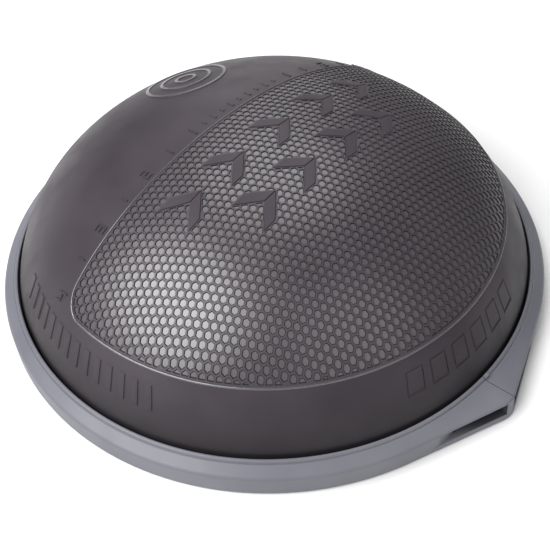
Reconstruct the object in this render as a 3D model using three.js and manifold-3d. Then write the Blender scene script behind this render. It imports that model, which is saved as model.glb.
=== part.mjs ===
// Balance dome trainer: an air-filled half dome clamped on a rigid round platform.
//
// Millimetres, +Z up. The origin is on the floor below the dome's apex. The two
// carrying handles lie on the X axis, and the air valve faces halfway from -X to +Y.

import * as THREE from 'three';
import { mergeVertices } from 'three/addons/utils/BufferGeometryUtils.js';
import Module from 'manifold-3d';

const wasm = await Module();
wasm.setup();

const DEG = Math.PI / 180;
const GAP = 0.3;                // clearance between two pieces that touch

// Overall sizes
const RIM_R = 325;              // outer radius of the clamp ring at its foot
const RIM_Z0 = 2;               // underside of the clamp ring, lifted by the feet
const LIP_R = 306;              // inner edge of the clamp ring's lip
const LIP_Z = 38.5;             // crest of the lip
const TURN_SEGMENTS = 60;       // facets of each large turned piece

// Dome bladder: half of a flattened ellipsoid on a flat base
const DOME_A = 309.1;           // horizontal half axis
const DOME_B = 214.1;           // vertical half axis
const DOME_CZ = -2.5;           // height of the ellipsoid's centre
const DOME_WALL = 5;
const BEAD_R = 311;             // bead that the ring holds down
const BEAD_Z0 = 17.3;
const BEAD_Z1 = 22;

// Clamp ring section
const LEG_R0 = 308.2;           // leg that presses on the bead
const LEG_R1 = 311.7;
const LEG_Z0 = BEAD_Z1 + GAP;
const SKIRT_R = 321.5;          // inner face of the outer skirt
const SHOULDER_Z = 27.9;
const SHOULDER_R = 324.2;

// Handles, one at each end of the X axis
const TIP_X_FOOT = 346.5;       // flat tip, at the underside
const TIP_X_TOP = 343.5;        // flat tip, at the top plate
const FLARE_FOOT = 21.3 * DEG;  // where the handle's sides leave the round rim
const FLARE_TOP = 20.2 * DEG;
const GRIP_X = 315.3;           // back wall of the finger slot
const GRIP_Z0 = 9.5;
const GRIP_Z1 = 25.2;
const POST_X = 334;             // back of the post that closes the tip
const POST_HALF = 6.5;

// Seam between the two halves of the ring, a slanted line across each handle
const SEAM_X = 321.5;           // where the seam crosses the handle's centre line
const SEAM_SLOPE = 0.249;

// Platform
const DECK_R = 320.8;
const DECK_Z0 = 3;
const DECK_Z1 = 11;
const DECK_TOP = 17;
const DECK_HOLLOW_R = 298;
const RIB_COUNT = 12;
const RIB_WIDTH = 4;
const RIB_TOP = 16.6;
const RIB_HUB_R = 60;
const POCKET_Z = 4.7;           // ceiling of the pockets that hold feet and pad

// Feet and pad
const FOOT_COUNT = 8;
const FOOT_R = 18;
const FOOT_CIRCLE_R = 270;
const FOOT_SEGMENTS = 18;
const PAD_R = 150;
const PAD_Z0 = 1;

// Screws
const SCREW_ANGLES = [20, 48, 76, 104, 132, 160];
const SCREW_CIRCLE_R = 316.5;
const SCREW_HEAD_R = 4;
const SCREW_SHANK_R = 2;
const SCREW_SEAT_Z = 6;
const SCREW_TIP_Z = 25.6;
const BOSS_R = 5.2;
const BOSS_TOP_Z = 28;
const SCREW_SEGMENTS = 10;

// Splice plates that tie the ring halves together under each handle
const SPLICE_X = 326;
const SPLICE_W = 17;
const SPLICE_L = 44;
const SPLICE_Z0 = 2.3;
const SPLICE_Z1 = 4.3;
const SPLICE_HOLE_Y = 14;
const SPLICE_HEAD_R = 3.2;
const SPLICE_SHANK_R = 1.5;
const SPLICE_SEAT_Z = 3.4;
const SPLICE_TIP_Z = 8.2;

// Grip liners
const LINER_T = 1.8;
const LINER_HALF = 62;

// Air valve
const VALVE_ANGLE = 135 * DEG;
const VALVE_Z = 62;
const VALVE_HOLE_R = 9;

const MATERIALS = {
  dome: { color: 0x57535a, roughness: 0.55, metalness: 0 },
  ring: { color: 0x8b8f99, roughness: 0.5, metalness: 0 },
  deck: { color: 0x2b2c30, roughness: 0.6, metalness: 0 },
  rubber: { color: 0x1d1d1f, roughness: 0.85, metalness: 0 },
  valve: { color: 0x26262a, roughness: 0.6, metalness: 0 },
  steel: { color: 0xa9adb3, roughness: 0.35, metalness: 1 },
};

const assembly = new THREE.Group();

// ---------------------------------------------------------------- helpers

function closedBody(geometry) {
  const bare = geometry.index ? geometry.clone() : geometry;
  bare.deleteAttribute('normal');
  bare.deleteAttribute('uv');
  const merged = mergeVertices(bare, 1e-4);
  return new wasm.Manifold(new wasm.Mesh({
    numProp: 3,
    vertProperties: Float32Array.from(merged.attributes.position.array),
    triVerts: Uint32Array.from(merged.index.array),
  }));
}

function toGeometry(body) {
  const mesh = body.getMesh();
  const geometry = new THREE.BufferGeometry();
  geometry.setAttribute('position', new THREE.Float32BufferAttribute(mesh.vertProperties, 3));
  geometry.setIndex(Array.from(mesh.triVerts));
  geometry.computeVertexNormals();
  return geometry;
}

function addPiece(name, shape, look, parent = assembly) {
  const geometry = shape.isBufferGeometry ? shape : toGeometry(shape);
  const piece = new THREE.Mesh(geometry, new THREE.MeshStandardMaterial(MATERIALS[look]));
  piece.name = name;
  parent.add(piece);
  return piece;
}

// A solid turned about Z from an outline of [radius, height] pairs, anticlockwise.
function turned(outline, segments = TURN_SEGMENTS) {
  const points = outline.map(([r, z]) => new THREE.Vector2(r, z));
  const onAxis = outline[0][0] === 0;
  if (!onAxis) points.push(points[0].clone());
  return new THREE.LatheGeometry(points, segments).rotateX(Math.PI / 2);
}

// A solid raised from a flat outline of [x, y] pairs, between two heights.
function raised(outline, z0, z1) {
  const shape = new THREE.Shape(outline.map(([x, y]) => new THREE.Vector2(x, y)));
  return new THREE.ExtrudeGeometry(shape, { depth: z1 - z0, bevelEnabled: false })
    .translate(0, 0, z0);
}

function block(x0, x1, y0, y1, z0, z1) {
  return new THREE.BoxGeometry(x1 - x0, y1 - y0, z1 - z0)
    .translate((x0 + x1) / 2, (y0 + y1) / 2, (z0 + z1) / 2);
}

function disc(radius, z0, z1, x = 0, y = 0, segments = 20) {
  return turned([[0, z0], [radius, z0], [radius, z1], [0, z1]], segments).translate(x, y, 0);
}

function onCircle(radius, angle) {
  return [radius * Math.cos(angle), radius * Math.sin(angle)];
}

function halfTurned(geometry) {
  return geometry.clone().rotateZ(Math.PI);
}

function domeRadius(z, inset = 0) {
  const rise = (z - DOME_CZ) / (DOME_B - inset);
  return (DOME_A - inset) * Math.sqrt(Math.max(0, 1 - rise * rise));
}

// Outline points up the dome from height z0 to its apex, evenly spaced by slope.
function domeOutline(z0, inset, steps) {
  const start = Math.asin((z0 - DOME_CZ) / (DOME_B - inset));
  const points = [];
  for (let i = 0; i <= steps; i++) {
    const t = start + (Math.PI / 2 - start) * (i / steps);
    const r = i === steps ? 0 : (DOME_A - inset) * Math.cos(t);
    points.push([r, DOME_CZ + (DOME_B - inset) * Math.sin(t)]);
  }
  return points;
}

// ---------------------------------------------------------------- air valve place

const valveR = domeRadius(VALVE_Z);
const valveOut = new THREE.Vector2(valveR / DOME_A ** 2, (VALVE_Z - DOME_CZ) / DOME_B ** 2)
  .normalize();
const valveFrame = new THREE.Group();
valveFrame.rotation.set(0, Math.atan2(valveOut.x, valveOut.y), VALVE_ANGLE, 'ZYX');
valveFrame.position.set(...onCircle(valveR, VALVE_ANGLE), VALVE_Z);
valveFrame.updateMatrix();
assembly.add(valveFrame);

// ---------------------------------------------------------------- dome bladder

function domeBladder() {
  const outer = closedBody(turned([
    [0, BEAD_Z0],
    [BEAD_R, BEAD_Z0],
    [BEAD_R, BEAD_Z1],
    ...domeOutline(BEAD_Z1, 0, 10),
  ]));
  const cavityZ = BEAD_Z0 + DOME_WALL;
  const cavity = closedBody(turned([
    [0, cavityZ],
    ...domeOutline(cavityZ, DOME_WALL, 9),
  ]));
  const hole = closedBody(disc(VALVE_HOLE_R, -3 * DOME_WALL, DOME_WALL)
    .applyMatrix4(valveFrame.matrix));
  return outer.subtract(cavity).subtract(hole);
}

addPiece('dome_bladder', domeBladder(), 'dome');

// ---------------------------------------------------------------- air valve

addPiece('valve_seat', turned([
  [5, -9.8],
  [15, -9.8],
  [15, -7.5],
  [8.6, -7.5],
  [8.6, GAP],
  [12, GAP],
  [12, 1.4],
  [11.2, 2],
  [5, 2],
], 20), 'valve', valveFrame);

addPiece('valve_plug', turned([
  [0, -9],
  [3.6, -9],
  [4.6, -6],
  [4.6, 2.3],
  [9, 2.3],
  [9, 3.4],
  [8.2, 4.4],
  [3, 4.9],
  [0, 4.9],
], 16), 'valve', valveFrame);

// ---------------------------------------------------------------- clamp ring

// Outer radius at an angle: round, then straight tangent sides to each flat tip.
function rimRadius(angle, roundR, tipX, flare) {
  const folded = Math.abs(Math.asin(Math.sin(angle)));
  if (folded >= flare) return roundR;
  return Math.min(roundR / Math.cos(flare - folded), tipX / Math.cos(folded));
}

// Outline of the ring's envelope at an angle, from the foot of the bead leg outwards.
function rimSection(angle) {
  const foot = rimRadius(angle, RIM_R, TIP_X_FOOT, FLARE_FOOT);
  const top = rimRadius(angle, SHOULDER_R, TIP_X_TOP, FLARE_TOP);
  const brow = LIP_R + 3.8;
  return [
    [LEG_R1, RIM_Z0],
    [foot, RIM_Z0],
    [top + 0.6, SHOULDER_Z - 3],
    [top - 1.2, SHOULDER_Z],
    [(top + brow) / 2, (SHOULDER_Z + LIP_Z) / 2 - 1.2],
    [brow, LIP_Z - 1.7],
    [LIP_R + 2.8, LIP_Z - 0.4],
    [LIP_R + 1, LIP_Z],
    [LIP_R, LIP_Z - 1.1],
    [LIP_R + 0.6, LIP_Z - 5],
    [LEG_R0, LIP_Z - 10.5],
    [LEG_R0, LEG_Z0],
    [LEG_R1, LEG_Z0],
  ];
}

function rimStations() {
  const flareStops = [0, 1.1, 2.4, 5, 8, 11, 14, 17, 20, 21.3];
  const roundSteps = 10;
  const lastFlare = flareStops[flareStops.length - 1];
  const quarter = [...flareStops];
  for (let i = 1; i <= roundSteps; i++) {
    quarter.push(lastFlare + (90 - lastFlare) * (i / roundSteps));
  }
  const half = [...quarter, ...quarter.slice(1, -1).reverse().map((a) => 180 - a)];
  return [...half, ...half.map((a) => a + 180)].map((a) => a * DEG);
}

// A closed hoop skinned over one outline per station.
function hoop(stations, sectionAt) {
  const loops = stations.map(sectionAt);
  const count = loops[0].length;
  const positions = [];
  loops.forEach((loop, i) => {
    loop.forEach(([r, z]) => positions.push(...onCircle(r, stations[i]), z));
  });
  const index = [];
  for (let i = 0; i < loops.length; i++) {
    const here = i * count;
    const next = ((i + 1) % loops.length) * count;
    for (let j = 0; j < count; j++) {
      const k = (j + 1) % count;
      index.push(here + j, next + j, next + k);
      index.push(here + j, next + k, here + k);
    }
  }
  const geometry = new THREE.BufferGeometry();
  geometry.setAttribute('position', new THREE.Float32BufferAttribute(positions, 3));
  geometry.setIndex(index);
  return geometry;
}

function seamY(x) {
  return (x - SEAM_X) * SEAM_SLOPE;
}

// Plan outline that holds one ring half: everything on the +Y side of both seams.
function halfPlan() {
  const inner = LIP_R - 20;
  const outer = TIP_X_FOOT + 20;
  const margin = GAP / 2;
  return [
    [inner, seamY(inner) + margin],
    [outer, seamY(outer) + margin],
    [outer, outer],
    [-outer, outer],
    [-outer, -seamY(outer) + margin],
    [-inner, -seamY(inner) + margin],
  ];
}

// Hollow underside of the ring between its leg and its skirt, clear of the handles.
function rimHollow() {
  const hollow = closedBody(turned([
    [LEG_R1 - 0.7, 0],
    [SKIRT_R, 0],
    [SKIRT_R, 23.6],
    [319.5, 26],
    [LEG_R1, 31.2],
    [LEG_R1, LEG_Z0 + 0.3],
    [LEG_R1 - 0.7, LEG_Z0 + 0.3],
  ]));
  return hollow.intersect(closedBody(block(-LEG_R1, LEG_R1, -RIM_R, RIM_R, -1, LIP_Z)));
}

// Finger slot under a handle's top plate, open to both sides behind the tip post.
function gripSlot() {
  const reach = 100;
  const outer = TIP_X_FOOT + 10;
  const slot = closedBody(block(GRIP_X, outer, -reach, reach, GRIP_Z0, GRIP_Z1));
  const post = closedBody(raised([
    [POST_X, -POST_HALF],
    [outer, -POST_HALF],
    [outer, seamY(outer)],
    [POST_X, seamY(POST_X)],
  ], GRIP_Z0 - 1, GRIP_Z1 + 1));
  return slot.subtract(post);
}

function splicePocket() {
  const halfW = SPLICE_W / 2 + GAP;
  const halfL = SPLICE_L / 2 + GAP;
  let pocket = closedBody(block(
    SPLICE_X - halfW, SPLICE_X + halfW, -halfL, halfL, 0, SPLICE_Z1 + GAP));
  for (const y of [-SPLICE_HOLE_Y, SPLICE_HOLE_Y]) {
    pocket = pocket.add(closedBody(disc(
      SPLICE_SHANK_R + GAP, SPLICE_Z0, SPLICE_TIP_Z + GAP, SPLICE_X, y, SCREW_SEGMENTS)));
  }
  return pocket;
}

function rimHalf() {
  let rim = closedBody(hoop(rimStations(), rimSection)).subtract(rimHollow());
  for (const angle of SCREW_ANGLES) {
    const [x, y] = onCircle(SCREW_CIRCLE_R, angle * DEG);
    const boss = closedBody(disc(BOSS_R, DECK_TOP + GAP, BOSS_TOP_Z, x, y, 12));
    const bore = closedBody(disc(
      SCREW_SHANK_R + GAP, DECK_TOP - 1, SCREW_TIP_Z + GAP, x, y, SCREW_SEGMENTS));
    rim = rim.add(boss).subtract(bore);
  }
  for (const cut of [gripSlot(), splicePocket()]) {
    rim = rim.subtract(cut).subtract(cut.rotate([0, 0, 180]));
  }
  return rim.intersect(closedBody(raised(halfPlan(), 0, LIP_Z + 5)));
}

const rimHalfShape = toGeometry(rimHalf());
addPiece('ring_half_front', halfTurned(rimHalfShape), 'ring');
addPiece('ring_half_back', rimHalfShape, 'ring');

// ---------------------------------------------------------------- platform deck

function deck() {
  let body = closedBody(turned([
    [0, DECK_Z0],
    [DECK_R - 1, DECK_Z0],
    [DECK_R, DECK_Z0 + 1],
    [DECK_R, DECK_TOP],
    [DECK_HOLLOW_R, DECK_TOP],
    [DECK_HOLLOW_R, DECK_Z1],
    [0, DECK_Z1],
  ]));
  for (let i = 0; i < RIB_COUNT / 2; i++) {
    const rib = closedBody(block(
      -DECK_HOLLOW_R - 1, DECK_HOLLOW_R + 1, -RIB_WIDTH / 2, RIB_WIDTH / 2, DECK_Z1 - 1, RIB_TOP));
    body = body.add(rib.rotate([0, 0, (i * 360) / RIB_COUNT]));
  }
  body = body.add(closedBody(disc(RIB_HUB_R, DECK_Z1 - 1, RIB_TOP, 0, 0, 36)));
  body = body.intersect(closedBody(block(
    -LEG_R1 + GAP, LEG_R1 - GAP, -RIM_R, RIM_R, 0, DECK_TOP + 1)));
  body = body.subtract(closedBody(disc(PAD_R + GAP, 0, POCKET_Z, 0, 0, TURN_SEGMENTS)));
  for (const [x, y] of footPlaces()) {
    body = body.subtract(closedBody(disc(FOOT_R + GAP, 0, POCKET_Z, x, y, FOOT_SEGMENTS)));
  }
  for (const [x, y] of screwPlaces()) {
    const head = closedBody(disc(
      SCREW_HEAD_R + GAP, 0, SCREW_SEAT_Z, x, y, SCREW_SEGMENTS));
    const shank = closedBody(disc(
      SCREW_SHANK_R + GAP, 0, DECK_TOP + 1, x, y, SCREW_SEGMENTS));
    body = body.subtract(head).subtract(shank);
  }
  return body;
}

function footPlaces() {
  const places = [];
  for (let i = 0; i < FOOT_COUNT; i++) {
    places.push(onCircle(FOOT_CIRCLE_R, ((i + 0.5) * 2 * Math.PI) / FOOT_COUNT));
  }
  return places;
}

function screwPlaces() {
  const back = SCREW_ANGLES.map((a) => onCircle(SCREW_CIRCLE_R, a * DEG));
  const front = SCREW_ANGLES.map((a) => onCircle(SCREW_CIRCLE_R, (a + 180) * DEG));
  return [...back, ...front];
}

addPiece('platform_deck', deck(), 'deck');

// ---------------------------------------------------------------- feet and pad

addPiece('traction_pad', turned([
  [0, PAD_Z0],
  [PAD_R - 1, PAD_Z0],
  [PAD_R, PAD_Z0 + 1],
  [PAD_R, POCKET_Z - GAP],
  [0, POCKET_Z - GAP],
]), 'rubber');

footPlaces().forEach(([x, y], i) => {
  const foot = addPiece(`foot_${i + 1}`, turned([
    [0, 0],
    [FOOT_R - 1.5, 0],
    [FOOT_R, 1.5],
    [FOOT_R, POCKET_Z - GAP],
    [0, POCKET_Z - GAP],
  ], FOOT_SEGMENTS), 'rubber');
  foot.position.set(x, y, 0);
});

// ---------------------------------------------------------------- screws

function screwOutline(headR, shankR, headZ, seatZ, tipZ) {
  return [
    [0, headZ],
    [headR - 0.6, headZ],
    [headR, headZ + 0.5],
    [headR, seatZ],
    [shankR, seatZ],
    [shankR, tipZ - 1],
    [0, tipZ],
  ];
}

screwPlaces().forEach(([x, y], i) => {
  const number = String(i + 1).padStart(2, '0');
  const outline = screwOutline(
    SCREW_HEAD_R, SCREW_SHANK_R, DECK_Z0 + 0.4, SCREW_SEAT_Z - GAP, SCREW_TIP_Z);
  const screw = addPiece(`clamp_screw_${number}`, turned(outline, SCREW_SEGMENTS), 'steel');
  screw.position.set(x, y, 0);
});

// ---------------------------------------------------------------- handles

function splicePlate() {
  const halfW = SPLICE_W / 2;
  const halfL = SPLICE_L / 2;
  const corner = 3;
  let plate = closedBody(raised([
    [-halfW, corner - halfL],
    [corner - halfW, -halfL],
    [halfW - corner, -halfL],
    [halfW, corner - halfL],
    [halfW, halfL - corner],
    [halfW - corner, halfL],
    [corner - halfW, halfL],
    [-halfW, halfL - corner],
  ], SPLICE_Z0, SPLICE_Z1));
  for (const y of [-SPLICE_HOLE_Y, SPLICE_HOLE_Y]) {
    plate = plate
      .subtract(closedBody(disc(
        SPLICE_HEAD_R + GAP, 0, SPLICE_SEAT_Z + GAP, 0, y, SCREW_SEGMENTS)))
      .subtract(closedBody(disc(
        SPLICE_SHANK_R + GAP, 0, SPLICE_Z1 + 1, 0, y, SCREW_SEGMENTS)));
  }
  return toGeometry(plate);
}

const splicePlateShape = splicePlate();
const spliceScrewShape = turned(screwOutline(
  SPLICE_HEAD_R, SPLICE_SHANK_R, SPLICE_Z0, SPLICE_SEAT_Z, SPLICE_TIP_Z), SCREW_SEGMENTS);
const linerShape = block(0, LINER_T, -LINER_HALF, LINER_HALF, GRIP_Z0 + GAP, GRIP_Z1 - GAP);

for (const [side, turn] of [['right', 0], ['left', Math.PI]]) {
  const handle = new THREE.Group();
  handle.rotation.z = turn;
  assembly.add(handle);

  const plate = addPiece(`splice_plate_${side}`, splicePlateShape, 'steel', handle);
  plate.position.x = SPLICE_X;

  [-SPLICE_HOLE_Y, SPLICE_HOLE_Y].forEach((y, i) => {
    const screw = addPiece(`splice_screw_${side}_${i + 1}`, spliceScrewShape, 'steel', handle);
    screw.position.set(SPLICE_X, y, 0);
  });

  const liner = addPiece(`grip_liner_${side}`, linerShape, 'rubber', handle);
  liner.position.x = GRIP_X + GAP;
}

export default assembly;
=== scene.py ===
"""Balance dome trainer: the looks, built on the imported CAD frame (metres, +Z up)."""
import math

import bmesh
import bpy
from mathutils import Matrix, Vector
from mathutils.geometry import delaunay_2d_cdt


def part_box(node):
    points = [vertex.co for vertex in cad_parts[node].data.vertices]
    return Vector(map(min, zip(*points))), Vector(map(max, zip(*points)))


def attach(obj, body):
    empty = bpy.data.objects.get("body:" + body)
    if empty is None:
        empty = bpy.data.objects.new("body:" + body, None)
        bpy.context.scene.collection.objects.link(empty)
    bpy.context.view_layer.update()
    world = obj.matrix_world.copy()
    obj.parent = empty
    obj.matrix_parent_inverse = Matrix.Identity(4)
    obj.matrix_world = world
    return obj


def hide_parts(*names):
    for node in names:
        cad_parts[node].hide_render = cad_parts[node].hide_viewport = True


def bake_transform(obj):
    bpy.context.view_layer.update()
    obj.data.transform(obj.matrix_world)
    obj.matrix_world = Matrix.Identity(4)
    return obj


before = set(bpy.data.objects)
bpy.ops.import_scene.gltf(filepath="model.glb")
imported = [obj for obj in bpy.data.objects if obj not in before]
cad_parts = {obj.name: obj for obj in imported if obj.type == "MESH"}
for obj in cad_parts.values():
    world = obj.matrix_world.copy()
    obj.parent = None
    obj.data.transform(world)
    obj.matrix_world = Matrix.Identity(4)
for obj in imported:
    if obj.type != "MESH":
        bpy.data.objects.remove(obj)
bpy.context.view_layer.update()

MM = 0.001
DEG = math.pi / 180

# ---------------------------------------------------------------- sizes (millimetres)

DOME_LOW, DOME_HIGH = (corner / MM for corner in map(Vector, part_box("dome_bladder")))
DOME_A = 309.1                  # horizontal half axis of the dome's ellipsoid
DOME_B = 214.1                  # vertical half axis
DOME_CZ = DOME_HIGH.z - DOME_B
BEAD_R = DOME_HIGH.x
BEAD_Z0 = DOME_LOW.z
BEAD_Z1 = BEAD_Z0 + 4.7

# Honeycomb zone on the dome, in plan
CHORD_X = -44.7                 # straight edge, across the handles' axis
ARC_R = 268.5                   # round edge, concentric with the rim
CORNER_R = 25
RIDGE_W = 2.3
RIDGE_H = 1.1
CELL_PITCH = 8.75
POCKET_WIDTH = 7.1              # across the flats of a pocket's mouth
POCKET_DEPTH = 1.1
POCKET_SLOPE = 0.6              # how far a pocket's wall leans in
POCKET_MARGIN = 1.0             # least land between a pocket and a ridge or mark
LEAST_MOUTH = 7                 # a cut pocket with a smaller mouth, in mm2, is left out
LEAST_FLOOR = 1.5

# Marks on the dome
MARK_H = 1.0
MARK_SLOPE = 0.6
GROOVE_W = 1.9
GROOVE_SLOPE = 0.5
FIGURE_H = 12.0
FIGURE_STROKE = 2.0
FIGURE_RELIEF = 1.3
FIGURE_SLOPE = 0.4
SCALE_X = CHORD_X - 12.5        # row of ticks and figures
SCALE_Y = 15.6                  # its middle
SIDE_R0 = 278.0                 # band that the side marks fill
SIDE_R1 = 292.5

# Mesh of the plain part of the dome
PLAIN_SPACING = 8.0
PLAIN_R = 284                   # a triangle grid inside, rings of points from SKIRT_PLAN_R out
SKIRT_PLAN_R = 286
SKIRT_RINGS = 8
MARK_CLEARANCE = 2.5

# Material slots of the dome's skin
LAND, FLOOR, CREST_HIGHLIGHT, WALL, WORN = range(5)

VALVE_AZIMUTH = 135 * DEG
VALVE_Z = 62.0
VALVE_HOLE_R = 9.0
VALVE_PASSAGE = 20              # depth of the valve's passage through the wall


# Clamp ring
RIM_R = 325                     # outer radius at the foot
RIM_Z0 = 2
LIP_Z = 38.5
SHOULDER_R = 324.2
SHOULDER_Z = 27.9
LEG_R0 = 308.2
LEG_R1 = 311.7
LEG_Z0 = 22.3
SKIRT_R = 321.5
TIP_X_FOOT = 346.5
TIP_X_TOP = 343.5
FLARE_FOOT = 21.3 * DEG
FLARE_TOP = 20.2 * DEG
GRIP_X = 315.3                  # back wall of the finger slot
GRIP_Z0 = 9.5
GRIP_Z1 = 25.2
GRIP_HALF = 95                  # half the longest reach of a slot along the rim
CEILING_KNEE_R = 319.5          # where the hollow's ceiling turns down steeply
CEILING_KNEE_Z = 26
POST_X = 334
SEAM_X = 321.5
SEAM_SLOPE = 0.249
SEAM_GAP = 0.6
FILLET_STEPS = 3

# Screws and feet
SCREW_ANGLES = [20, 48, 76, 104, 132, 160]
SCREW_CIRCLE_R = 316.5
BOSS_R = 5.2
BOSS_BORE_R = 2.3
BOSS_Z0 = 17.3
BOSS_Z1 = 28
SPLICE_X = 326
FOOT_CIRCLE_R = 270
FOOT_COUNT = 8

# Edges sharper than this stay crisp when a piece is smoothed
SHARP = 38 * DEG
DOME_SHARP = 27 * DEG
PAD_SHARP = 30 * DEG


# ---------------------------------------------------------------- plan geometry

def polar(radius, angle):
    return Vector((radius * math.cos(angle), radius * math.sin(angle)))


def clipped(polygon, point, outward):
    """The part of a convex polygon behind the line through point, facing outward."""
    kept = []
    for i, a in enumerate(polygon):
        b = polygon[(i + 1) % len(polygon)]
        da = (a - point).dot(outward)
        db = (b - point).dot(outward)
        if da <= 0:
            kept.append(a)
        if (da < 0 < db) or (db < 0 < da):
            kept.append(a.lerp(b, da / (da - db)))
    return kept


def edge_lines(polygon):
    """A point and the outward unit normal of each edge of an anticlockwise polygon."""
    lines = []
    for i, a in enumerate(polygon):
        along = polygon[(i + 1) % len(polygon)] - a
        if along.length > 1e-6:
            lines.append((a, Vector((along.y, -along.x)).normalized()))
    return lines


def inset(polygon, distance):
    smaller = polygon
    for point, outward in edge_lines(polygon):
        smaller = clipped(smaller, point - outward * distance, outward)
        if len(smaller) < 3:
            return []
    return smaller


def area(polygon):
    total = 0.0
    for i, a in enumerate(polygon):
        b = polygon[(i + 1) % len(polygon)]
        total += a.x * b.y - b.x * a.y
    return total / 2


def arc(centre, radius, start, stop, steps):
    return [centre + polar(radius, start + (stop - start) * i / steps) for i in range(steps + 1)]


def ramp(distance, slope):
    return min(1.0, max(0.0, distance / slope))


class Plate:
    """A flat-topped raised shape with a convex outline and sloping sides."""

    crest_highlight = False

    def __init__(self, outline, height=MARK_H, slope=MARK_SLOPE):
        self.outline = outline if area(outline) > 0 else outline[::-1]
        self.lines = edge_lines(self.outline)
        self.height = height
        self.slope = slope
        self.centre = sum(self.outline, Vector((0, 0))) / len(self.outline)
        self.reach = max((p - self.centre).length for p in self.outline)

    def depth_inside(self, p):
        if (p - self.centre).length > self.reach:
            return -1.0
        return min((point - p).dot(outward) for point, outward in self.lines)

    def relief(self, p):
        return self.height * ramp(self.depth_inside(p), self.slope)

    def contours(self):
        return [self.outline, inset(self.outline, self.slope)]


class Groove(Plate):
    """A narrow sunk line that follows a convex outline."""

    def __init__(self, outline):
        super().__init__(outline, MARK_H, GROOVE_SLOPE)

    def relief(self, p):
        inside = self.depth_inside(p)
        return -self.height * min(ramp(inside, self.slope), ramp(GROOVE_W - inside, self.slope))

    def contours(self):
        steps = (0, self.slope, GROOVE_W - self.slope, GROOVE_W)
        return [inset(self.outline, s) for s in steps]


class Hoop:
    """A raised band round a circle."""

    # The rings' crests get the glossy material with a painted highlight.
    crest_highlight = True
    slope = MARK_SLOPE

    def __init__(self, centre, inner, outer):
        self.centre = centre
        self.inner = inner
        self.outer = outer

    def depth_inside(self, p):
        r = (p - self.centre).length
        return min(r - self.inner, self.outer - r)

    def relief(self, p):
        return MARK_H * ramp(self.depth_inside(p), self.slope)

    def contours(self):
        radii = (self.inner, self.inner + self.slope, self.outer - self.slope, self.outer)
        steps = max(24, int(self.outer * 2))
        return [arc(self.centre, r, 0, 2 * math.pi, steps)[:-1] for r in radii]


class ZoneRidge:
    """The thin raised line round the honeycomb zone."""

    crest_highlight = False

    def __init__(self):
        self.corner = Vector((CHORD_X + CORNER_R, 0))
        self.corner.y = math.sqrt((ARC_R - CORNER_R) ** 2 - self.corner.x ** 2)
        self.corner_angle = math.atan2(self.corner.y, self.corner.x)

    def outline(self, grow):
        """The zone's edge moved outwards by grow, anticlockwise."""
        radius = CORNER_R + grow
        a = self.corner_angle
        low = Vector((self.corner.x, -self.corner.y))
        points = arc(Vector((0, 0)), ARC_R + grow, -a, a, 200)
        points += arc(self.corner, radius, a, math.pi, 12)[1:]
        points += [Vector((CHORD_X - grow, y)) for y in range(230, -231, -10)]
        points += arc(low, radius, math.pi, 2 * math.pi - a, 12)[:-1]
        return points

    def outside(self, p):
        """How far a plan point lies outside the zone's edge; negative inside."""
        folded = Vector((p.x, abs(p.y)))
        from_corner = folded - self.corner
        past_arc = folded.cross(self.corner) < 0
        if past_arc and from_corner.y > 0:
            return from_corner.length - CORNER_R
        return max(p.length - ARC_R, CHORD_X - p.x)

    def edge_near(self, p, grow):
        """Points and outward directions of the edge lines that can cut a cell at p."""
        lines = [(Vector((CHORD_X - grow, p.y)), Vector((-1, 0)))]
        radial = p.normalized()
        lines.append((radial * (ARC_R + grow), radial))
        corner = Vector((self.corner.x, math.copysign(self.corner.y, p.y)))
        away = p - corner
        if away.y * corner.y > 0 and away.length > 1 and away.x < 0:
            away.normalize()
            lines.append((corner + away * (CORNER_R + grow), away))
        return lines

    def depth_inside(self, p):
        return RIDGE_W / 2 - abs(self.outside(p))

    def relief(self, p):
        across = min(1.0, abs(self.outside(p)) / (RIDGE_W / 2))
        return RIDGE_H * (1 - across ** 2)

    def contours(self):
        steps = (-1, -0.7, -0.4, -0.1, 0.1, 0.4, 0.7, 1)
        return [self.outline(step * RIDGE_W / 2) for step in steps]


# ---------------------------------------------------------------- marks on the dome

def bar(centre, length, width, angle):
    along = polar(length / 2, angle)
    across = polar(width / 2, angle + math.pi / 2)
    return [centre - along - across, centre + along - across,
            centre + along + across, centre - along + across]


def chevron(tip):
    """Two slanted plates that meet in an arrow tip pointing along +Y."""
    arm, width, spread_angle = 33, 17, 42 * DEG
    heading = 90 * DEG
    plates = []
    for side in (-1, 1):
        back = tip + polar(arm, heading + math.pi - side * spread_angle)
        wide = polar(width, heading + math.pi)
        plates.append(Plate([tip, back, back + wide, tip + wide]))
    return plates


# Which of a figure's strokes each digit uses: top, middle, bottom, then left and right sides.
DIGIT_STROKES = {1: "cd", 2: "tmbcf", 3: "tmbcd", 4: "mecd"}


def digit(number, centre):
    """A plain raised figure, read with its top towards -X."""
    half = FIGURE_H / 2
    width = FIGURE_H * 0.5
    strokes = {
        "t": ((-half, 0), width, 90), "m": ((0, 0), width, 90), "b": ((half, 0), width, 90),
        "e": ((-half / 2, -width / 2), half, 0), "c": ((-half / 2, width / 2), half, 0),
        "f": ((half / 2, -width / 2), half, 0), "d": ((half / 2, width / 2), half, 0),
    }
    plates = []
    for key in DIGIT_STROKES[number]:
        offset, length, turn = strokes[key]
        outline = bar(centre + Vector(offset), length + FIGURE_STROKE, FIGURE_STROKE, turn * DEG)
        plates.append(Plate(outline, FIGURE_RELIEF, FIGURE_SLOPE))
    return plates


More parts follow.
